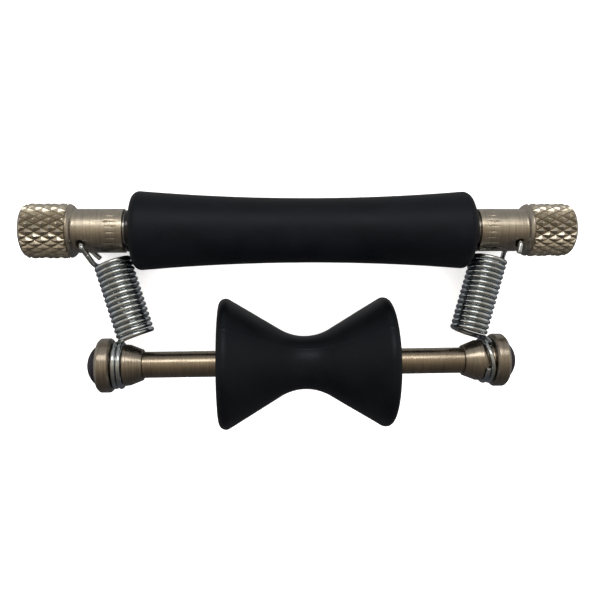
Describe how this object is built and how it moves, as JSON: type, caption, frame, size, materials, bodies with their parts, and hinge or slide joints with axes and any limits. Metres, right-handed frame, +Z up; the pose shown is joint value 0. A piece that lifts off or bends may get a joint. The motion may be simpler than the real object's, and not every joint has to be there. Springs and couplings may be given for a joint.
{
  "type": "rolling guitar capo",
  "caption": "Spring-loaded rolling capo: waisted rubber string roller with knurled knobs, joined by extension springs to an hourglass neck roller on a rod with spools.",
  "frame": {"origin": "middle of the whole box in X and Y, on the surface that both rollers rest on", "axes": "+X along both axles, towards the right knob; +Y from the neck roller to the string roller; +Z up from the surface"},
  "size_m": [0.1112, 0.0472, 0.0261],
  "materials": {
    "soft_rubber": "matte",
    "hard_rubber": "satin",
    "knob_nickel": "satin nickel plate",
    "spool_nickel": "satin nickel plate with a brown cast",
    "spring_zinc": "bright zinc plate",
    "rod_steel": "drawn and brushed",
    "axle_steel": "ground",
    "core_aluminium": "drawn",
    "black_acetal": "gloss",
    "liner_nylon": "natural",
    "bearing_bronze": "sintered, oiled",
    "black_steel": "black oxide"
  },
  "bodies": {
    "axle": {"upper_axle": "axle_steel", "thrust_washer_left": "axle_steel", "thrust_washer_right": "axle_steel"},
    "string_roller": {"string_roller_sleeve": "soft_rubber", "string_roller_core": "core_aluminium", "bush_left": "black_acetal", "bush_right": "black_acetal"},
    "left_knob": {"knob_left": "knob_nickel", "knob_liner_left": "liner_nylon"},
    "right_knob": {"knob_right": "knob_nickel", "knob_liner_right": "liner_nylon"},
    "spring_pair": {"spring_left": "spring_zinc", "spring_right": "spring_zinc"},
    "spool_pair": {"spool_left": "spool_nickel", "spool_right": "spool_nickel", "spool_bush_left": "bearing_bronze", "spool_bush_right": "bearing_bronze"},
    "neck_roller_shaft": {"neck_roller": "hard_rubber", "lower_rod": "rod_steel", "end_washer_left": "black_steel", "end_washer_right": "black_steel", "end_screw_left": "black_steel", "end_screw_right": "black_steel"}
  },
  "joints": [
    {"name": "string_roller_spin", "type": "hinge", "parent": "axle", "child": "string_roller", "pos_m": [0, 0.01574, 0.0079], "axis": [1, 0, 0], "continuous": true},
    {"name": "left_knob_turn", "type": "hinge", "parent": "axle", "child": "left_knob", "pos_m": [0, 0.01574, 0.0079], "axis": [-1, 0, 0], "range_deg": [0, 180], "deforming": ["spring_left", "spring_right"]},
    {"name": "right_knob_turn", "type": "hinge", "parent": "axle", "child": "right_knob", "pos_m": [0, 0.01574, 0.0079], "axis": [1, 0, 0], "range_deg": [0, 180], "deforming": ["spring_left", "spring_right"]},
    {"name": "lower_swing", "type": "hinge", "parent": "axle", "child": "spring_pair", "pos_m": [0, 0.01574, 0.0079], "axis": [1, 0, 0], "range_deg": [-20, 20], "deforming": ["spring_left", "spring_right"]},
    {"name": "spring_stretch", "type": "slide", "parent": "spring_pair", "child": "spool_pair", "axis": [0, -0.9814, 0.192], "range_m": [0, 0.018], "stiffness_N_per_m": 4400, "springref_m": -0.002, "deforming": ["spring_left", "spring_right"]},
    {"name": "neck_roller_spin", "type": "hinge", "parent": "spool_pair", "child": "neck_roller_shaft", "pos_m": [0, -0.01059, 0.01305], "axis": [1, 0, 0], "continuous": true}
  ]
}
